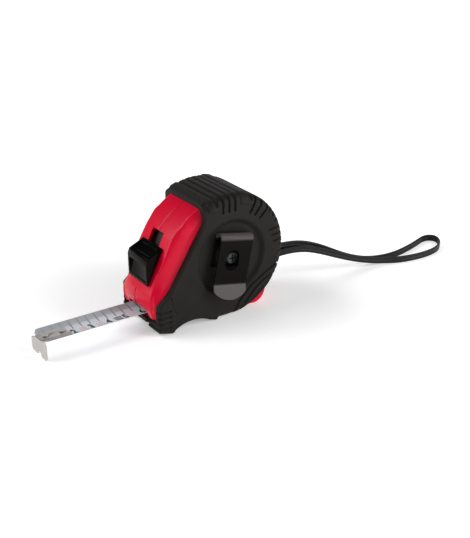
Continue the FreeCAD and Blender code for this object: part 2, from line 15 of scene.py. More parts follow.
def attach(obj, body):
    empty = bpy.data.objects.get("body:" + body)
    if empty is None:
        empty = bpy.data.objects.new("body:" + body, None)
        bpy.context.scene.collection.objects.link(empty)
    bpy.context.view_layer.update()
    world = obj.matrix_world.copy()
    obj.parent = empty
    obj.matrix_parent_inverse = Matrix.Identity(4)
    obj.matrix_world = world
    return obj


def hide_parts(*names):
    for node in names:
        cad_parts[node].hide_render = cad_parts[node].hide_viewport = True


MM = 0.001
AXIS = np.array([0.0, 35.0])         # (y, z) of the spool's axis
HALF = 20.1                          # half the thickness over the rubber grips
SHELL_HALF = 17.0                    # half the thickness over the red shells
SHELL_EDGE = 16.2                    # X where the shells' front ends and their side begins
SHELL_R = 33.8                       # radius of the shells round the back
SHELL_FLOOR_Z = 5.6                  # underside of the shells
GRIP_R = 35.4                        # radius of the rubber round the back
SHOULDER = 4.5                       # edge radius of the rubber round the back
DISH_FLOOR = 18.0                    # X of the round dish in each side
DISH_R = 18.8                        # radius at which the dish's slope starts
DISH_SLOPE = 3.4                     # width of that slope
PANEL_TOP = np.array([-33.5, 50.5])  # (y, z) of the slanted front's upper end
PANEL_LOW = np.array([-46.0, 25.0])  # (y, z) of its lower end
SCREWS = [(17.0, 56.5), (-16.0, 57.0), (27.4, 36.0), (-27.0, 20.0)]
SCREW_RECESS_R = 2.7
STRAP_SLOT = (24.0, 40.0, 13.8, 24.4)  # y and z limits of the slot at the rear
STRAP_SLOT_HALF = 3.4
BRAKE_ANGLE = -55.0                  # direction of the brake button from the axis, in degrees
MOUTH = (-60.0, -38.0, 7.0, 12.7)    # y and z limits of the opening for the blade
MOUTH_HALF = 9.6

CURVE_Z = 29.4                       # height of the centre of the blade's curve
BLADE_TOP_R = 20.6                   # radius of the blade's upper, hollow side
ZERO_Y = -104.98                     # where the scale starts
HOOK_TAB = (-3.5, -88.4)             # x and y limits of the print beside the hook's tab
MARK_FAR_X = -7.95                   # where all marks start, at the blade's far edge
MM_MARK_X = -3.6                     # where the millimetre marks end
CM_MARK_X = -0.3                     # where the marks of every 5 mm end
MM_MARK_HALF = 0.11                  # half widths of the two kinds of marks
CM_MARK_HALF = 0.22
DIGIT_FOOT_X = 7.0                   # lower end of the numbers
DIGIT_SIZE = 8.6
DIGIT_NARROWING = 0.62
DIGIT_SHIFT = -1.5                   # from the centimetre mark to the middle of its number

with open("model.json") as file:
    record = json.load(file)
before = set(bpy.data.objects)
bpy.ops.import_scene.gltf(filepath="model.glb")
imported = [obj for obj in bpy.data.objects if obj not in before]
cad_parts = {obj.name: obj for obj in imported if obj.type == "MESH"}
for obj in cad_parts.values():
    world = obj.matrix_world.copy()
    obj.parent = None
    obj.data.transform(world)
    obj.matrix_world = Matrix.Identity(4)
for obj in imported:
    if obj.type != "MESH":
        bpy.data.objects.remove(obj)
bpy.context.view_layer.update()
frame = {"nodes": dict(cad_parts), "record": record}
nodes = frame["nodes"]


# ---- camera, light, floor -----------------------------------------------------------------------
CAMERA_TARGET = Vector((0, 0.01615, 0.01639))
CAMERA_DISTANCE = 0.5647
CAMERA_ANGLES = (55.2, 24.81, 0.24)  # turn, tilt and roll in degrees
CAMERA_LENS = 66.914
CAMERA_SENSOR = 36.0


def make_camera():
    turn, tilt, roll = (math.radians(angle) for angle in CAMERA_ANGLES)
    back = Vector((math.sin(turn) * math.cos(tilt), -math.cos(turn) * math.cos(tilt), math.sin(tilt)))
    level = Vector((math.cos(turn), math.sin(turn), 0.0))
    upward = back.cross(level)
    right = level * math.cos(roll) + upward * math.sin(roll)
    up = upward * math.cos(roll) - level * math.sin(roll)
    data = bpy.data.cameras.new("camera")
    data.sensor_width = CAMERA_SENSOR
    data.lens = CAMERA_LENS
    data.clip_start = 0.01
    camera = bpy.data.objects.new("camera", data)
    bpy.context.scene.collection.objects.link(camera)
    camera.matrix_world = (Matrix.Translation(CAMERA_TARGET + back * CAMERA_DISTANCE)
                           @ Matrix((right, up, back)).transposed().to_4x4())
    bpy.context.scene.camera = camera


def area_light(name, place, target, size, power):
    data = bpy.data.lights.new(name, "AREA")
    data.shape = "RECTANGLE"
    data.size, data.size_y = size
    data.energy = power
    light = bpy.data.objects.new(name, data)
    bpy.context.scene.collection.objects.link(light)
    light.location = place
    light.rotation_euler = (Vector(target) - Vector(place)).to_track_quat("-Z", "Y").to_euler()


def sun_light(name, place, strength, spread):
    data = bpy.data.lights.new(name, "SUN")
    data.energy = strength
    data.angle = math.radians(spread)
    light = bpy.data.objects.new(name, data)
    bpy.context.scene.collection.objects.link(light)
    light.rotation_euler = Vector(place).to_track_quat("Z", "Y").to_euler()


def make_lights():
    scene = bpy.context.scene
    scene.view_settings.view_transform = "Standard"
    world = bpy.data.worlds.new("studio")
    scene.world = world
    world.use_nodes = True
    background = world.node_tree.nodes["Background"]
    background.inputs["Color"].default_value = (1.0, 1.0, 1.0, 1.0)
    background.inputs["Strength"].default_value = 0.08
    sun_light("key", (-0.55, -1.0, 0.65), 1.8, 50.0)
    sun_light("fill", (1.0, -0.15, 0.6), 0.20, 60.0)
    area_light("rear_right", (0.535, 0.418, 0.32), (0.02, 0, 0.035), (0.32, 0.66), 3.8)
    area_light("rear_left", (-0.60, 0.42, 0.36), (0, -0.03, 0.02), (0.60, 0.50), 1.1)
    area_light("lock_glint", (-0.35, -0.35, 0.60), (0, -0.04, 0.04), (0.22, 0.22), 0.9)


def make_floor():
    """White ground that glows a little, more so further away, so that it turns into the white of the world."""
    reach = 3.0
    corners = [(-reach, -reach, 0), (reach, -reach, 0), (reach, reach, 0), (-reach, reach, 0)]
    mesh = bpy.data.meshes.new("floor")
    mesh.from_pydata(corners, [], [(0, 1, 2, 3)])
    floor = bpy.data.objects.new("floor", mesh)
    bpy.context.scene.collection.objects.link(floor)
    floor.location.z = -0.00002
    white = plain("floor_white", (0.93, 0.93, 0.93), 0.9, specular=0.1)
    shader = shader_of(white)
    shader.inputs["Emission Color"].default_value = (1, 1, 1, 1)
    tree = white.node_tree
    place = tree.nodes.new("ShaderNodeTexCoord")
    away = tree.nodes.new("ShaderNodeVectorMath")
    away.operation = "LENGTH"
    tree.links.new(place.outputs["Object"], away.inputs[0])
    glow = tree.nodes.new("ShaderNodeMapRange")
    for socket, value in (("From Min", 0.06), ("From Max", 0.32), ("To Min", 0.32), ("To Max", 0.75)):
        glow.inputs[socket].default_value = value
    tree.links.new(away.outputs["Value"], glow.inputs["Value"])
    tree.links.new(glow.outputs["Result"], shader.inputs["Emission Strength"])
    mesh.materials.append(white)


# ---- materials ----------------------------------------------------------------------------------
def shader_of(mat):
    return mat.node_tree.nodes["Principled BSDF"]


def plain(name, colour, rough, metallic=0.0, specular=0.5):
    mat = bpy.data.materials.new(name)
    mat.use_nodes = True
    shader = shader_of(mat)
    shader.inputs["Base Color"].default_value = (*colour, 1.0)
    shader.inputs["Roughness"].default_value = rough
    shader.inputs["Metallic"].default_value = metallic
    shader.inputs["Specular IOR Level"].default_value = specular
    return mat


def textured(name, colour, rough, vary=0.12, grain=4500.0, bump=0.004, rough_vary=0.08, blotch=60.0, **rest):
    """A plain material with colour blotches, a fine grain in the surface and uneven roughness."""
    mat = plain(name, colour, rough, **rest)
    tree = mat.node_tree
    shader = shader_of(mat)
    place = tree.nodes.new("ShaderNodeTexCoord")

    def noise(size, detail):
        node = tree.nodes.new("ShaderNodeTexNoise")
        node.inputs["Scale"].default_value = size
        node.inputs["Detail"].default_value = detail
        tree.links.new(place.outputs["Object"], node.inputs["Vector"])
        return node.outputs["Fac"]

    broad = noise(blotch, 3.0)
    fine = noise(grain, 4.0)
    ramp = tree.nodes.new("ShaderNodeValToRGB")
    ramp.color_ramp.elements[0].position = 0.3
    ramp.color_ramp.elements[0].color = (*[c * (1 - vary) for c in colour], 1)
    ramp.color_ramp.elements[1].position = 0.7
    ramp.color_ramp.elements[1].color = (*[min(1, c * (1 + vary)) for c in colour], 1)
    tree.links.new(broad, ramp.inputs["Fac"])
    tree.links.new(ramp.outputs["Color"], shader.inputs["Base Color"])
    spread = tree.nodes.new("ShaderNodeMapRange")
    spread.inputs["To Min"].default_value = max(0.02, rough - rough_vary)
    spread.inputs["To Max"].default_value = min(1.0, rough + rough_vary)
    tree.links.new(fine, spread.inputs["Value"])
    tree.links.new(spread.outputs["Result"], shader.inputs["Roughness"])
    relief = tree.nodes.new("ShaderNodeBump")
    relief.inputs["Strength"].default_value = 0.6
    relief.inputs["Distance"].default_value = bump * MM
    tree.links.new(fine, relief.inputs["Height"])
    tree.links.new(relief.outputs["Normal"], shader.inputs["Normal"])
    return mat


# Mask of the belt clip's painted highlight at its tongue and its fold
CLIP_UP = (0.0, 0.199, 0.98)  # the belt clip's own upward direction
CLIP_REACH = 0.070            # metres along it that the stops below span
CLIP_STOPS = ((0.288, 1.0), (0.296, 0.0), (0.640, 0.0), (0.660, 0.9))


def worn_ends(mat, colour):
    """Painted highlight: lightens a material's colour towards the lower and the upper end of the belt clip,
    where its bent tongue and its fold show highlights.
    """
    tree = mat.node_tree
    shader = shader_of(mat)
    place = tree.nodes.new("ShaderNodeTexCoord")
    along = tree.nodes.new("ShaderNodeVectorMath")
    along.operation = "DOT_PRODUCT"
    along.inputs[1].default_value = CLIP_UP
    tree.links.new(place.outputs["Object"], along.inputs[0])
    height = tree.nodes.new("ShaderNodeMapRange")
    height.inputs["From Max"].default_value = CLIP_REACH
    tree.links.new(along.outputs["Value"], height.inputs["Value"])
    ramp = tree.nodes.new("ShaderNodeValToRGB")
    stops = ramp.color_ramp.elements
    stops[0].position, stops[1].position = CLIP_STOPS[0][0], CLIP_STOPS[1][0]
    for position, _ in CLIP_STOPS[2:]:
        stops.new(position)
    for stop, (_, value) in zip(stops, CLIP_STOPS):
        stop.color = (value, value, value, 1)
    tree.links.new(height.outputs["Result"], ramp.inputs["Fac"])
    mix = tree.nodes.new("ShaderNodeMixRGB")
    mix.inputs["Color2"].default_value = (*colour, 1.0)
    tree.links.new(ramp.outputs["Color"], mix.inputs["Fac"])
    tree.links.new(shader.inputs["Base Color"].links[0].from_socket, mix.inputs["Color1"])
    tree.links.new(mix.outputs["Color"], shader.inputs["Base Color"])


def make_materials():
    made = {
        "shell": textured("red_plastic", (0.66, 0.001, 0.028), 0.28, vary=0.03, grain=5000, bump=0.001,
                          blotch=30, rough_vary=0.04, specular=0.18),
        "grip": textured("rubber", (0.0150, 0.0128, 0.0120), 0.60, grain=2500, bump=0.015, specular=0.12),
        "black_plastic": textured("black_plastic", (0.010, 0.010, 0.010), 0.45, bump=0.01, specular=0.3),
        "gloss_black": textured("gloss_black", (0.002, 0.002, 0.002), 0.10, rough_vary=0.03, bump=0.001,
                                specular=0.06),
        "steel": textured("satin_steel", (0.52, 0.49, 0.47), 0.38, metallic=1.0, vary=0.05),
        "clip_steel": textured("dark_steel", (0.004, 0.003, 0.0027), 0.28, vary=0.06, bump=0.0005,
                               specular=0.05),
        "spring_steel": textured("blued_steel", (0.22, 0.23, 0.26), 0.3, metallic=1.0, bump=0.006),
        "zinc": textured("die_cast", (0.5, 0.5, 0.52), 0.45, metallic=1.0, bump=0.02),
        "spool_plastic": textured("grey_plastic", (0.07, 0.07, 0.075), 0.5, bump=0.01),
        "blade_paint": textured("blade_lacquer", (0.62, 0.655, 0.70), 0.3, vary=0.03, grain=1500, bump=0.001,
                                specular=0.4),
        "strap": textured("matt_vinyl", (0.009, 0.009, 0.009), 0.42, grain=3000, bump=0.02, specular=0.2),
        "dark_screw": textured("dark_screw", (0.06, 0.065, 0.065), 0.42, metallic=0.8),
        "ink": textured("black_ink", (0.008, 0.008, 0.010), 0.5, bump=0.002),
        "red_ink": textured("red_ink", (0.72, 0.30, 0.32), 0.5, bump=0.002),
    }
    # painted highlight: the clip's tongue and fold are made lighter in colour rather than lit
    worn_ends(made["clip_steel"], (0.100, 0.090, 0.088))
    shader_of(made["gloss_black"]).inputs["Specular Tint"].default_value = (1.0, 0.70, 0.58, 1.0)
    return made


# ---- mesh helpers -------------------------------------------------------------------------------
def add_object(name, vertices, faces, material, sharp=35.0):
    mesh = bpy.data.meshes.new(name)
    mesh.from_pydata(vertices, [], faces)
    mesh.validate()
    thing = bpy.data.objects.new(name, mesh)
    bpy.context.scene.collection.objects.link(thing)
    mesh.materials.append(material)
    finish_mesh(thing, sharp)
    return thing


def finish_mesh(thing, sharp=35.0):
    """Faces point outwards, and only edges sharper than the given angle look sharp."""
    bm = bmesh.new()
    bm.from_mesh(thing.data)
    bmesh.ops.recalc_face_normals(bm, faces=bm.faces)
    bm.to_mesh(thing.data)
    bm.free()
    thing.data.shade_smooth()
    thing.data.set_sharp_from_angle(angle=math.radians(sharp))


def closed_grid(rows):
    """Vertices and faces of a solid from rows of points, each row a loop, closed by a fan at either end."""
    count, columns, _ = rows.shape
    points = rows.reshape(-1, 3)
    first = points[:columns].mean(0)
    last = points[-columns:].mean(0)
    first[1:] = AXIS
    last[1:] = AXIS
    vertices = np.vstack([points, first, last]) * MM
    i, j = np.meshgrid(np.arange(count - 1), np.arange(columns), indexing="ij")
    k = (j + 1) % columns
    quads = np.stack([i * columns + j, i * columns + k, (i + 1) * columns + k, (i + 1) * columns + j], -1)
    start = count * columns
    base = start - columns
    ring = [(a, (a + 1) % columns) for a in range(columns)]
    fans = [(start, b, a) for a, b in ring]
    fans += [(start + 1, base + a, base + b) for a, b in ring]
    return vertices.tolist(), quads.reshape(-1, 4).tolist() + fans


def ring_grid(rows):
    """Vertices and faces of a ring-shaped solid: each row is a loop, and the last row joins the first."""
    count, columns, _ = rows.shape
    i, j = np.meshgrid(np.arange(count), np.arange(columns), indexing="ij")
    i2, j2 = (i + 1) % count, (j + 1) % columns
    quads = np.stack([i * columns + j, i * columns + j2, i2 * columns + j2, i2 * columns + j], -1)
    return (rows.reshape(-1, 3) * MM).tolist(), quads.reshape(-1, 4).tolist()


def volume(mesh):
    bm = bmesh.new()
    bm.from_mesh(mesh)
    size = abs(bm.calc_volume(signed=True)) / MM ** 3
    bm.free()
    return size


def boolean(thing, cutters, operation="DIFFERENCE"):
    """Applies each cutter to the piece and deletes it. A result whose volume is not sound is refused."""
    for cutter in cutters:
        before = volume(thing.data)
        most = before + (volume(cutter.data) if operation == "UNION" else 0.0)
        least = before if operation == "UNION" else before - volume(cutter.data)
        done = False
        for solver in ("MANIFOLD", "EXACT"):
            modifier = thing.modifiers.new("cut", "BOOLEAN")
            modifier.operation = operation
            modifier.object = cutter
            modifier.solver = solver
            depsgraph = bpy.context.evaluated_depsgraph_get()
            mesh = bpy.data.meshes.new_from_object(thing.evaluated_get(depsgraph), depsgraph=depsgraph)
            thing.modifiers.clear()
            after = volume(mesh)
            if least - 1.0 <= after <= most + 1.0 and len(mesh.vertices) > 8:
                old = thing.data
                thing.data = mesh
                bpy.data.meshes.remove(old)
                done = True
                break
            bpy.data.meshes.remove(mesh)
        if not done:
            print("%s on %s was refused: %.1f to %.1f mm3" % (operation, thing.name, before, after))
        bpy.data.objects.remove(cutter)


def prism(name, outline, x_low, x_high, material, bevel=0.0, segments=0):
    """Solid between two X planes from a closed outline of (y, z) points."""
    count = len(outline)
    vertices = [(x * MM, y * MM, z * MM) for x in (x_low, x_high) for y, z in outline]
    faces = [tuple(range(count)), tuple(range(2 * count - 1, count - 1, -1))]
    faces += [(i, (i + 1) % count, count + (i + 1) % count, count + i) for i in range(count)]
    thing = add_object(name, vertices, faces, material)
    if bevel:
        bevel_now(thing, bevel, segments)
    return thing


def bevel_now(thing, width, segments):
    bm = bmesh.new()
    bm.from_mesh(thing.data)
    edges = [e for e in bm.edges if len(e.link_faces) == 2 and e.calc_face_angle(0.0) > math.radians(30)]
    bmesh.ops.bevel(bm, geom=edges, offset=width * MM, segments=segments, profile=0.5, affect="EDGES",
                    clamp_overlap=True)
    bm.to_mesh(thing.data)
    bm.free()
    finish_mesh(thing)


def box_outline(y_low, y_high, z_low, z_high):
    return [(y_low, z_low), (y_high, z_low), (y_high, z_high), (y_low, z_high)]


def disc_outline(y, z, radius):
    turns = np.linspace(0, 2 * math.pi, 48, False)
    return [(y + radius * math.cos(a), z + radius * math.sin(a)) for a in turns]


def on_panel(along, proud):
    """(y, z) at a distance up the slanted front from PANEL_TOP, and a height over it."""
    up = (PANEL_TOP - PANEL_LOW) / np.linalg.norm(PANEL_TOP - PANEL_LOW)
    out = np.array([-up[1], up[0]])
    return tuple(PANEL_TOP + along * up + proud * out)


def rounded(corners):
    """Closed polyline from corners (y, z, radius)."""
    path = []
    for i, (y, z, radius) in enumerate(corners):
        here = np.array([y, z])
        if radius == 0:
            path.append(here)
            continue
        a = np.array(corners[i - 1][:2]) - here
        b = np.array(corners[(i + 1) % len(corners)][:2]) - here
        la, lb = np.linalg.norm(a), np.linalg.norm(b)
        a, b = a / la, b / lb
        half = math.acos(np.clip(a @ b, -1, 1)) / 2
        reach = min(radius / math.tan(half), 0.48 * la, 0.48 * lb)
        radius = reach * math.tan(half)
        middle = (a + b) / np.linalg.norm(a + b)
        centre = here + middle * radius / math.sin(half)
        start = here + a * reach - centre
        end = here + b * reach - centre
        angle = math.atan2(start[1], start[0])
        sweep = math.atan2(start[0] * end[1] - start[1] * end[0], start @ end)
        for t in np.linspace(0, 1, 9):
            turn = angle + sweep * t
            path.append(centre + radius * np.array([math.cos(turn), math.sin(turn)]))
    return np.array(path)


def resample(path, count):
    """Evenly spaced points round a closed polyline."""
    loop = np.vstack([path, path[:1]])
    steps = np.concatenate([[0], np.cumsum(np.linalg.norm(np.diff(loop, axis=0), axis=1))])
    wanted = np.linspace(0, steps[-1], count, endpoint=False)
    return np.stack([np.interp(wanted, steps, loop[:, 0]), np.interp(wanted, steps, loop[:, 1])], -1)


def outward(points):
    """Unit normals in the YZ plane of a loop that runs from the rear over the top to the front."""
    along = np.roll(points, -1, axis=0) - np.roll(points, 1, axis=0)
    along /= np.linalg.norm(along, axis=1)[:, None]
    return np.stack([along[:, 1], -along[:, 0]], -1)


def circle_points(radius, start, end, step):
    angles = np.radians(np.arange(start, end + 1e-6, step))
    return [(radius * math.cos(a), AXIS[1] + radius * math.sin(a), 0) for a in angles]


def arc_through(a, b, c, count):
    """Points of the arc from a over b to c, both ends included."""
    (ax, ay), (bx, by), (cx, cy) = a, b, c
    d = 2 * (ax * (by - cy) + bx * (cy - ay) + cx * (ay - by))
    aa, bb, cc = ax ** 2 + ay ** 2, bx ** 2 + by ** 2, cx ** 2 + cy ** 2
    ux = (aa * (by - cy) + bb * (cy - ay) + cc * (ay - by)) / d
    uy = (aa * (cx - bx) + bb * (ax - cx) + cc * (bx - ax)) / d
    first = math.atan2(ay - uy, ax - ux)
    middle = math.atan2(by - uy, bx - ux)
    last = math.atan2(cy - uy, cx - ux)
    ccw = (middle - first) % (2 * math.pi) < (last - first) % (2 * math.pi)
    sweep = (last - first) % (2 * math.pi) if ccw else -((first - last) % (2 * math.pi))
    radius = math.hypot(ax - ux, ay - uy)
    return [(ux + radius * math.cos(first + sweep * t), uy + radius * math.sin(first + sweep * t), 0)
            for t in np.linspace(0, 1, count)]


def smooth_step(t):
    t = np.clip(t, 0, 1)
    return t * t * (3 - 2 * t)


# ---- outlines in the side view ------------------------------------------------------------------
SHELL_COLUMNS = 720


def grip_outline():
    corners = circle_points(GRIP_R, -81.4, 117.0, 1.0)
    corners += [(-16.7, 66.2, 0.8), (-16.7, 57.2, 5.0), (-38.2, 23.3, 6.0), (-45.2, 17.4, 1.5),
                (-45.6, 14.6, 1.0), (-45.6, 2.0, 1.2), (-37.6, 0.0, 1.0), (-36.4, 0.0, 0.5), (-35.0, 1.6, 0.6)]
    corners += arc_through((-35.0, 1.6), (-24.0, 4.2), (-14.0, 1.4), 12)[1:-1]
    corners += [(-14.0, 1.4, 0), (-9.5, 0.0, 3.0)]
    return rounded(corners)


def shell_outline():
    corners = circle_points(SHELL_R, -60.0, 119.0, 2.0)
    corners += arc_through((-16.7, 64.39), (-26.6, 58.0), tuple(PANEL_TOP), 14)[:-1]
    corners += [(*PANEL_TOP, 0), (-38.4, 40.5, 0), (-43.3, 30.5, 0)]
    corners += arc_through((-47.0, 22.96), (-48.4, 17.5), (-47.5, 12.7), 18)[:-1]
    corners += [(-47.5, 12.7, 0.8), (-45.3, 7.2, 0.8), (-42.8, SHELL_FLOOR_Z, 0)]
    corners += [(-30.0, SHELL_FLOOR_Z, 0), (-15.0, SHELL_FLOOR_Z, 0)]
    corners += circle_points(SHELL_R, -116.0, -62.0, 2.0)
    return rounded(corners)


def polar(points):
    away = points - AXIS
    return np.degrees(np.arctan2(away[:, 1], away[:, 0])), np.linalg.norm(away, axis=1)


def shell_radius(angles):
    turn, radius = polar(resample(shell_outline(), SHELL_COLUMNS))
    order = np.argsort(turn)
    return np.interp(angles, turn[order], radius[order], period=360)


# ---- rubber grips -------------------------------------------------------------------------------
def radial_line(y, z, length, lean):
    """A stroke from a point straight away from the axis, leant by some degrees."""
    turn = math.atan2(z - AXIS[1], y) + math.radians(lean)
    return [(y, z), (y + length * math.cos(turn), z + length * math.sin(turn))]


def rim_stroke(angle, inner):
    """A stroke at an angle about the axis, from a radius to beyond the rim."""
    turn = math.radians(angle)
    return [(radius * math.cos(turn), AXIS[1] + radius * math.sin(turn)) for radius in (inner, 38.0)]


TOP_RIBS = [[(y, 61.6), (y, 74.0)] for y in (-5.4, -1.5, 2.2)]
TOP_ENDS = [[(-9.2, 66.0), (-9.2, 74.0)], [(12.9, 65.3), (14.7, 72.0)]]
LEANING_RIBS = [radial_line(y, z, 16.0, -4) for y, z in ((11.9, 58.2), (15.1, 56.3), (18.3, 53.9))]
REAR_RIBS = [[(25.0, 45.2), (29.8, 45.9), (37.5, 47.4)], [(26.8, 41.9), (31.9, 42.4), (38.0, 43.2)],
             [(27.9, 38.0), (33.4, 39.1), (38.0, 39.8)]]
RIM_RIBS = [rim_stroke(angle, inner) for angle, inner in ((40.5, 32.6), (34, 32.6), (27, 32.4), (1, 32.0),
                                                          (-6, 31.5), (-13, 32.0), (-20, 32.0))]
HEEL_SWEEPS = [
    [(28.8, 23.7), (23.4, 21.3), (18.4, 18.3), (14.5, 16.3), (11.1, 13.7), (8.4, 10.9), (5.6, 8.1),
     (3.1, 4.2), (0.2, -1.5)],
    [(34.0, 20.9), (28.1, 19.1), (23.8, 17.7), (19.6, 15.5), (16.5, 13.3), (14.0, 10.9), (11.2, 8.1),
     (9.0, 5.6), (7.3, 3.3), (4.9, -1.5)],
    [(30.0, 17.7), (25.9, 15.3), (22.5, 12.6), (19.1, 10.2), (16.9, 8.3), (14.6, 6.1), (12.9, 4.0),
     (10.3, 1.0), (9.0, -1.5)],
]
TOE_RIBS = [[(-47.0, z), (-38.5, z)] for z in (13.6, 10.4, 7.2, 4.2)]
TOE_CREASE = [[(-38.1, 21.0), (-37.2, 14.9), (-34.8, 11.3)]]
# Each group of strokes with its half width and its depth
GROOVES = ((TOP_RIBS, 0.6, 1.0), (TOP_ENDS, 0.6, 0.8), (LEANING_RIBS, 0.6, 1.0), (REAR_RIBS, 0.55, 0.9),
           (RIM_RIBS, 0.55, 0.8), (HEEL_SWEEPS, 0.55, 0.9), (TOE_RIBS, 0.5, 0.8), (TOE_CREASE, 0.4, 0.4))
PADS = ((-16.2, -10.8, 63.4), (5.9, 10.1, 64.0))  # raised pads over the top: y limits and lower end
PAD_HEIGHT = 0.55
GRIP_COLUMNS = 960
FACE_ROWS = 40


def relief(y, z):
    """Height of the rubber's moulded relief at a point of the side view: grooves below zero, pads above."""
    depth = np.zeros(y.shape)
    for points, half_width, deepest in ((stroke, *shape) for strokes, *shape in GROOVES for stroke in strokes):
        near = np.full(y.shape, 1e6)
        for (y0, z0), (y1, z1) in zip(points, points[1:]):
            dy, dz = y1 - y0, z1 - z0
            t = np.clip(((y - y0) * dy + (z - z0) * dz) / (dy * dy + dz * dz), 0, 1)
            near = np.minimum(near, np.hypot(y - y0 - t * dy, z - z0 - t * dz))
        depth = np.maximum(depth, deepest * smooth_step((half_width + 0.25 - near) / 0.5))
    raised = np.zeros(y.shape)
    for y_low, y_high, z_low in PADS:
        inside = np.minimum(np.minimum(y - y_low, y_high - y), z - z_low)
        raised = np.maximum(raised, PAD_HEIGHT * smooth_step(inside / 0.6 + 0.5))
    return raised - depth


def grip_rows():
    """Points of the right grip: rows run from the middle of the outer side over the rim to the inner side."""
    edge = resample(grip_outline(), GRIP_COLUMNS)
    out = outward(edge)
    turn, radius = polar(edge)
    ray = (edge - AXIS) / radius[:, None]
    y, z = edge[:, 0], edge[:, 1]
    front = (y < -16.5) & (z > SHELL_FLOOR_Z)  # the part of the edge that lies beside the red front
    under_shell = (z < SHELL_FLOOR_Z) & (y < -36.2)
    shoulder = (turn > -104.0) & (turn < 118.1) & ~front
    front_radius = 0.8 + 1.8 * smooth_step((19.0 - z) / 4.0)
    rho = np.where(shoulder, SHOULDER, np.where(front, front_radius, 1.3))
    for _ in range(6):
        rho = np.where(front, rho, (np.roll(rho, 1) + rho + np.roll(rho, -1)) / 3)
    # How far in the rubber reaches: to the front's side, round its upper corner, and to the middle elsewhere
    corner = 9.4 + 7.4 * np.sqrt(1 - np.clip((z - 59.6) / 5.0, 0, 1) ** 2)
    x_end = np.where(front, np.where(z > 64.6, 0.0, corner), np.where(under_shell, 8.4, 0.0))
    rows, normals = [], []

    def add(points, x, normal_x, normal_out):
        x = np.broadcast_to(x, radius.shape)
        rows.append(np.column_stack([x, points]))
        normal_x = np.broadcast_to(normal_x, radius.shape)
        normals.append(np.column_stack([normal_x, out * np.reshape(normal_out, (-1, 1))]))

    for r in (5.0, 10.0, 15.0, 18.2):
        add(AXIS + ray * r, DISH_FLOOR, 0, 0)
    for t in np.linspace(0, 1, 9):
        add(AXIS + ray * (DISH_R + DISH_SLOPE * t), DISH_FLOOR + (HALF - DISH_FLOOR) * smooth_step(t), 0, 0)
    face_start = AXIS + ray * (DISH_R + DISH_SLOPE + 0.4)
    face_end = edge - out * rho[:, None]
    for t in np.linspace(0, 1, FACE_ROWS):
        add(face_start * (1 - t) + face_end * t, HALF, 1 if t > 0 else 0, 0)
    for a in np.linspace(0, math.pi / 2, 11)[1:]:
        cos, sin = math.cos(a), math.sin(a)
        add(face_end + out * (rho * sin)[:, None], HALF - rho + rho * cos, cos, sin)
    for t in (0.2, 0.5, 0.8, 1.0):
        fading = np.where(front & (z < 20.0), max(0.0, 1 - 1.6 * t), 1.0)
        add(edge, (HALF - rho) * (1 - t) + x_end * t, 0, fading)
    rows = np.array(rows)
    rows = rows + np.array(normals) * relief(rows[:, :, 1], rows[:, :, 2])[:, :, None]
    away = np.hypot(rows[:, :, 1], rows[:, :, 2] - AXIS[1])
    over_edge = np.clip(away - (GRIP_R - SHOULDER), 0, SHOULDER)
    limit = HALF - SHOULDER + np.sqrt(np.clip(SHOULDER ** 2 - over_edge ** 2, 0, None))
    near_top = (rows[:, :, 1] < -14.0) & (rows[:, :, 2] > 55.0)
    rows[:, :, 0] = np.where(near_top, np.minimum(rows[:, :, 0], limit), rows[:, :, 0])
    inner = np.minimum(shell_radius(turn) + 0.05, radius - 1.2)
    lining = np.full(radius.shape, SHELL_HALF + 0.05)
    tail = [np.column_stack([x_end, AXIS + ray * inner[:, None]]),
            np.column_stack([lining, AXIS + ray * inner[:, None]]),
            np.column_stack([lining, AXIS + ray * 10.0])]
    return np.concatenate([rows, np.array(tail)])


def case_cutters(material, side):
    """Cutters for shell and grip alike: brake pocket, strap slot and, on the left side, screw recesses."""
    turn = math.radians(BRAKE_ANGLE)
    corners = [(28.0, -6.4), (42.0, -6.4), (42.0, 6.4), (28.0, 6.4)]
    pocket = [(r * math.cos(turn) - t * math.sin(turn), AXIS[1] + r * math.sin(turn) + t * math.cos(turn))
              for r, t in corners]
    cutters = [prism("cutter", pocket, -14.9, 14.9, material),
               prism("cutter", box_outline(*STRAP_SLOT), -STRAP_SLOT_HALF, STRAP_SLOT_HALF, material)]
    if side < 0:
        cutters += [prism("cutter", disc_outline(y, z, SCREW_RECESS_R), -25.0, -13.0, material)
                    for y, z in SCREWS]
    return cutters


def make_grips():
    rows = grip_rows()
    for name, side in (("rubber_right", 1), ("rubber_left", -1)):
        vertices, faces = closed_grid(rows * np.array([side, 1, 1]))
        grip = add_object(name, vertices, faces, materials["grip"], 40.0)
        boolean(grip, case_cutters(materials["grip"], side))
        finish_mesh(grip, 40.0)
        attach(grip, "case")
        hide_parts("grip_right" if side > 0 else "grip_left")


# ---- red shells ---------------------------------------------------------------------------------
# Angle about the axis, half width of the front, how far its edges lie back, and depth of the bevel at the side
NOSE = np.array([
    (0, 16.2, 0, 0.8), (112, 16.2, 0, 0.8), (118, 14.6, 0.1, 4.0), (124, 14.2, 0.2, 6.2), (131, 14.0, 0.2, 7.5),
    (134.5, 14.0, 0.3, 8.0), (138.5, 14.6, 0.3, 8.2), (142, 14.4, 0.3, 8.6), (147, 13.6, 0.3, 9.0),
    (155, 13.5, 0.5, 9.9), (160, 13.7, 0.4, 9.9), (170, 14.0, 0.2, 9.6), (176.5, 14.0, 0.2, 9.4),
    (183, 13.4, 0.3, 8.6), (189, 13.1, 0.7, 7.6), (193, 13.2, 1.1, 6.2), (196, 13.8, 1.3, 4.8),
    (199, 14.1, 1.4, 3.8), (202, 13.8, 1.2, 3.1), (205, 13.3, 0.7, 2.4), (208, 12.9, 0.5, 1.7),
    (212, 12.6, 0.4, 1.1), (215, 12.6, 0.2, 0.8), (225, 16.2, 0, 0.8), (360, 16.2, 0, 0.8),
])


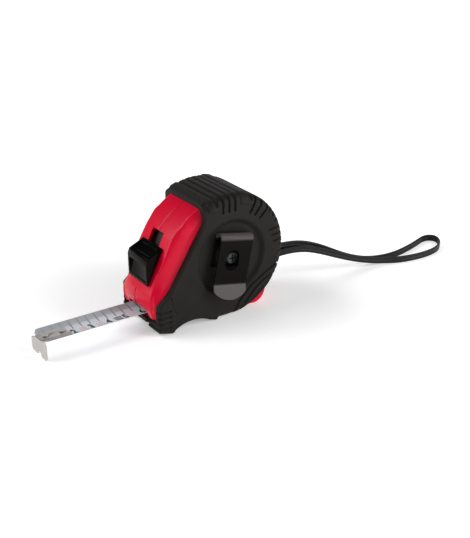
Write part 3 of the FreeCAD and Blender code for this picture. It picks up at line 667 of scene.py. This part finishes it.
def shell_rows():
    """Points of the right shell: rows run from the middle over front, bevel and side, and back inside."""
    edge = resample(shell_outline(), SHELL_COLUMNS)
    out = outward(edge)
    turn, radius = polar(edge)
    turn = turn % 360
    flat, crown, deep = (np.interp(turn, NOSE[:, 0], NOSE[:, k]) for k in (1, 2, 3))
    rows = []

    def add(x, depth):
        x = np.broadcast_to(x, radius.shape)
        depth = np.broadcast_to(depth, radius.shape)
        rows.append(np.column_stack([x, edge - out * depth[:, None]]))

    def add_side(x, points):
        rows.append(np.column_stack([np.full(radius.shape, x), points]))

    def back(x):
        return crown * (x / flat) ** 2

    for x, seam in ((0.0, 0.25), (0.12, 0.22), (0.25, 0.08), (0.5, 0), (1.5, 0), (4.0, 0), (6.5, 0), (9.0, 0)):
        add(x, back(x) + seam)
    for off, depth in ((-2.6, 0.0), (-1.2, 0.0), (-0.5, 0.03), (-0.15, 0.14), (0.15, 0.38), (0.4, 0.7)):
        x = np.minimum(flat + off, SHELL_EDGE)
        add(x, np.minimum(back(x) + depth, deep))
    for t in (0.2, 0.4, 0.6, 0.8, 1.0):
        across = 0.5 * t + 0.5 * math.sin(t * math.pi / 2)
        down = 0.5 * t + 0.5 * (1 - math.cos(t * math.pi / 2))
        add(x + (SHELL_EDGE - x) * across + 0.02 * t,
            np.minimum(back(x) + 0.7, deep) * (1 - down) + np.maximum(deep - 1.4, 0.5) * down)
    add(16.75, np.maximum(deep - 0.5, 0.6))
    add(SHELL_HALF, deep + 0.2)
    side = rows[-1][:, 1:]
    for t in (0.4, 0.75):
        add_side(SHELL_HALF, side * (1 - t) + AXIS * t)
    inside = edge - out * (deep + 2.0)[:, None]
    for t in (0.75, 0.4, 0.0):
        add_side(15.2, inside * (1 - t) + AXIS * t)
    add(np.minimum(flat - 0.8, 15.0), 1.5 + crown)
    add(0.0, 1.4)
    return np.array(rows)


def make_shells():
    rows = shell_rows()
    lock_slot = [on_panel(-21.5, -6.0), on_panel(1.2, -6.0), on_panel(1.2, 4.0), on_panel(-21.5, 4.0)]
    red = materials["shell"]
    for name, side in (("red_shell_right", 1), ("red_shell_left", -1)):
        vertices, faces = ring_grid(rows * np.array([side, 1, 1]))
        shell = add_object(name, vertices, faces, red)
        pocket, slot, *recesses = case_cutters(red, side)
        boolean(shell, [prism("cutter", lock_slot, -5.4, 5.4, red),
                        prism("cutter", box_outline(*MOUTH), -MOUTH_HALF, MOUTH_HALF, red),
                        slot, pocket, *recesses])
        finish_mesh(shell, 30.0)
        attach(shell, "case")
        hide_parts("case_right" if side > 0 else "case_left")


# ---- blade print --------------------------------------------------------------------------------
def blade_z(x, lift):
    return CURVE_Z - math.sqrt(BLADE_TOP_R ** 2 - x ** 2) + lift


def bent_plate(bm, x_low, x_high, y_low, y_high):
    """Thin closed plate on the hollow side of the blade."""
    under, over = -0.01, 0.05
    steps = max(1, int(round((x_high - x_low) / 0.6)))
    xs = np.linspace(x_low, x_high, steps + 1)
    rings = []
    for x in xs:
        rings.append([bm.verts.new((x * MM, y * MM, blade_z(x, lift) * MM))
                      for y, lift in ((y_low, under), (y_high, under), (y_high, over), (y_low, over))])
    for a, b in zip(rings, rings[1:]):
        for k in range(4):
            bm.faces.new((a[k], a[(k + 1) % 4], b[(k + 1) % 4], b[k]))
    bm.faces.new(rings[0])
    bm.faces.new(list(reversed(rings[-1])))


def print_object(name, bm, material):
    mesh = bpy.data.meshes.new(name)
    bmesh.ops.recalc_face_normals(bm, faces=bm.faces)
    bm.to_mesh(mesh)
    bm.free()
    thing = bpy.data.objects.new(name, mesh)
    bpy.context.scene.collection.objects.link(thing)
    mesh.materials.append(material)
    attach(thing, "blade")


def make_scale():
    bm = bmesh.new()
    tab_x, tab_y = HOOK_TAB
    for mark in range(2, 63):
        y = ZERO_Y + mark
        if mark % 5 == 0:
            near_x = tab_x if y < tab_y else CM_MARK_X
            bent_plate(bm, MARK_FAR_X, near_x, y - CM_MARK_HALF, y + CM_MARK_HALF)
        else:
            bent_plate(bm, MARK_FAR_X, MM_MARK_X, y - MM_MARK_HALF, y + MM_MARK_HALF)
    print_object("scale_marks", bm, materials["ink"])


def make_numbers():
    """Centimetre numbers from 2 up, bent to the blade; 1 would lie under the hook's tab."""
    for number in range(2, 7):
        curve = bpy.data.curves.new("number", "FONT")
        curve.body = str(number)
        curve.align_x = "CENTER"
        curve.size = DIGIT_SIZE * MM
        curve.extrude = 0.01 * MM
        curve.offset = 0.10 * MM
        curve.bevel_depth = 0.27 * MM
        curve.bevel_resolution = 0
        text = bpy.data.objects.new("number", curve)
        bpy.context.scene.collection.objects.link(text)
        depsgraph = bpy.context.evaluated_depsgraph_get()
        mesh = bpy.data.meshes.new_from_object(text.evaluated_get(depsgraph), depsgraph=depsgraph)
        bm = bmesh.new()
        bm.from_mesh(mesh)
        bpy.data.meshes.remove(mesh)
        bpy.data.objects.remove(text)
        low = min(v.co.y for v in bm.verts)
        for level in np.arange(0.5, 8.0, 0.5):
            bmesh.ops.bisect_plane(bm, geom=bm.verts[:] + bm.edges[:] + bm.faces[:],
                                   plane_co=(0, low + level * MM, 0), plane_no=(0, 1, 0))
        bmesh.ops.remove_doubles(bm, verts=bm.verts, dist=1e-7)
        for v in bm.verts:
            x = DIGIT_FOOT_X - (v.co.y - low) / MM
            y = ZERO_Y + 10 * number + DIGIT_SHIFT + DIGIT_NARROWING * v.co.x / MM
            v.co = Vector((x, y, blade_z(x, 0.05 + 0.3 * v.co.z / MM))) * MM
        print_object("number_%d" % number, bm, materials["ink"])


def make_small_print():
    """Generic marks where a tape has its class and country of origin: small outlined bars."""
    for name, y_low, y_high, ink, cells in (("small_mark_a", -82.3, -78.6, "red_ink", 3),
                                            ("small_mark_b", -72.6, -68.4, "red_ink", 3),
                                            ("small_mark_c", -62.6, -58.2, "ink", 4)):
        bm = bmesh.new()
        width = (y_high - y_low) / cells
        bar = 0.62 if ink == "ink" else 0.34
        for i in range(cells):
            a = y_low + i * width
            bent_plate(bm, 0.9, 6.2, a, a + bar)
            if i % 2:
                bent_plate(bm, 0.9, 1.7, a + bar, a + width - 0.1)
            bent_plate(bm, 5.4, 6.2, a + bar, a + width - 0.1)
        print_object(name, bm, materials[ink])


# ---- lock button --------------------------------------------------------------------------------
def lock_face(along, deep):
    """Point of the thumb face: a distance from its lower edge towards its top, and a depth under it."""
    slope = np.array([-7.6, 6.3]) / math.hypot(7.6, 6.3)
    out = np.array([slope[1], -slope[0]])
    return on_panel(*(np.array([-6.0, 0.3]) + slope * along - out * deep))


def make_lock_button():
    black = materials["gloss_black"]
    body = [on_panel(*point)
            for point in ((-6.0, 0.3), (-13.6, 6.6), (-16.4, 6.35), (-27.5, 0.75), (-27.6, 0.3))]
    button = prism("thumb_lock", body, -10.0, 10.0, black, 1.0, 5)
    dish = [lock_face(*point) for point in ((1.5, -2.0), (2.1, 0.8), (7.9, 1.0), (8.5, -2.0))]
    hollow = [on_panel(*point) for point in ((-18.0, 3.4), (-17.7, 8.0), (-28.0, 3.5), (-25.8, 1.1))]
    boolean(button, [prism("cutter", dish, -8.5, 8.5, black, 0.5, 4),
                     prism("cutter", hollow, -8.6, 8.6, black, 0.4, 3)])
    neck = [on_panel(*point) for point in ((-21.0, -3.5), (-12.0, -3.5), (-12.0, 0.9), (-21.0, 0.9))]
    neck = prism("neck", neck, -4.0, 4.0, black)
    boolean(button, [neck], "UNION")
    finish_mesh(button, 32.0)
    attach(button, "lock")
    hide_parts("lock_button")


# ---- strap --------------------------------------------------------------------------------------
STRAP_ROUTE = [
    (0.0, 27.0, 20.4), (0.0, 38.5, 22.5), (1.2, 49.5, 23.6), (2.9, 61.5, 22.3), (4.8, 73.0, 17.9),
    (6.7, 84.0, 12.0), (8.5, 95.0, 6.7), (10.2, 106.5, 3.2), (11.9, 117.5, 2.1), (12.4, 128.5, 2.1),
    (10.4, 139.5, 2.1), (7.4, 150.5, 2.1), (3.4, 162.0, 2.1), (7.6, 167.4, 2.1), (15.0, 164.2, 2.1),
    (20.8, 156.6, 2.1), (22.8, 146.5, 2.1), (22.2, 135.8, 2.1), (20.2, 125.8, 2.1), (16.6, 116.4, 2.6),
    (14.1, 106.5, 4.2), (11.9, 95.0, 7.5), (9.9, 84.0, 11.7), (7.8, 73.0, 16.4), (5.6, 61.5, 20.2),
    (3.4, 49.5, 20.7), (1.2, 38.5, 18.9), (0.0, 27.0, 15.6),
]


def strap_section():
    """Section of the flat strap, (across, up): rounded edges and a crease along the middle of both faces."""
    half_up, half_across, edge = 2.05, 0.62, 0.42
    turns = [math.radians(a) for a in np.linspace(0, 80, 5)]
    high = [(half_across - edge + edge * math.cos(a), half_up - edge + edge * math.sin(a)) for a in turns]
    low = [(across, -up) for across, up in reversed(high)]
    crease = [(half_across + 0.02, -0.9), (half_across, -0.3), (half_across - 0.2, 0.0), (half_across, 0.3),
              (half_across + 0.02, 0.9)]
    side = low + crease + high
    return side + [(-across, -up) for across, up in side]


def make_strap():
    curve = bpy.data.curves.new("strap_route", "CURVE")
    curve.dimensions = "3D"
    curve.resolution_u = 12
    spline = curve.splines.new("NURBS")
    spline.points.add(len(STRAP_ROUTE) - 1)
    for point, place in zip(spline.points, STRAP_ROUTE):
        point.co = (*[c * MM for c in place], 1.0)
    spline.order_u = 3
    spline.use_endpoint_u = True
    route = bpy.data.objects.new("strap_route", curve)
    bpy.context.scene.collection.objects.link(route)
    depsgraph = bpy.context.evaluated_depsgraph_get()
    line = bpy.data.meshes.new_from_object(route.evaluated_get(depsgraph), depsgraph=depsgraph)
    path = [v.co.copy() for v in line.vertices]
    bpy.data.objects.remove(route)
    section = strap_section()
    vertices, faces = [], []
    for i, here in enumerate(path):
        along = (path[min(i + 1, len(path) - 1)] - path[max(i - 1, 0)]).normalized()
        across = along.cross(Vector((0, 0, 1))).normalized()
        up = across.cross(along)
        vertices += [tuple(here + (across * a + up * b) * MM) for a, b in section]
    count = len(section)
    for i in range(len(path) - 1):
        for k in range(count):
            m = (k + 1) % count
            faces.append((i * count + k, i * count + m, (i + 1) * count + m, (i + 1) * count + k))
    faces.append(tuple(range(count)))
    faces.append(tuple(range(len(vertices) - 1, len(vertices) - 1 - count, -1)))
    strap = add_object("strap_band", vertices, faces, materials["strap"], 50.0)
    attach(strap, "case")
    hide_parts("wrist_strap")


# ---- CAD nodes that stay ------------------------------------------------------------------------
# Edge radius that each node gets
EDGES = {"belt_clip": 0.18, "end_hook": 0.12, "hook_rivets": 0.2, "clip_screw": 0.15, "case_screws": 0.15,
         "mouth_plate": 0.3, "lock_tongue": 0.15, "brake_button": 0.5, "lock_pad": 0.2, "spool": 0.1}


def dress_nodes():
    for part in frame["record"]["subparts"]:
        node = nodes[part["node"]]
        node.data.materials.clear()
        look = "dark_screw" if part["node"] == "clip_screw" else part["material_slot"]
        node.data.materials.append(materials[look])
        width = EDGES.get(part["node"])
        if width:
            weld = node.modifiers.new("weld", "WELD")
            weld.merge_threshold = 1e-6
            bevel = node.modifiers.new("edge", "BEVEL")
            bevel.width = width * MM
            bevel.segments = 3
            bevel.limit_method = "ANGLE"
            bevel.angle_limit = math.radians(40)
            bevel.harden_normals = True


materials = make_materials()
make_camera()
make_lights()
make_floor()
dress_nodes()
make_strap()
make_grips()
make_shells()
make_scale()
make_numbers()
make_small_print()
make_lock_button()
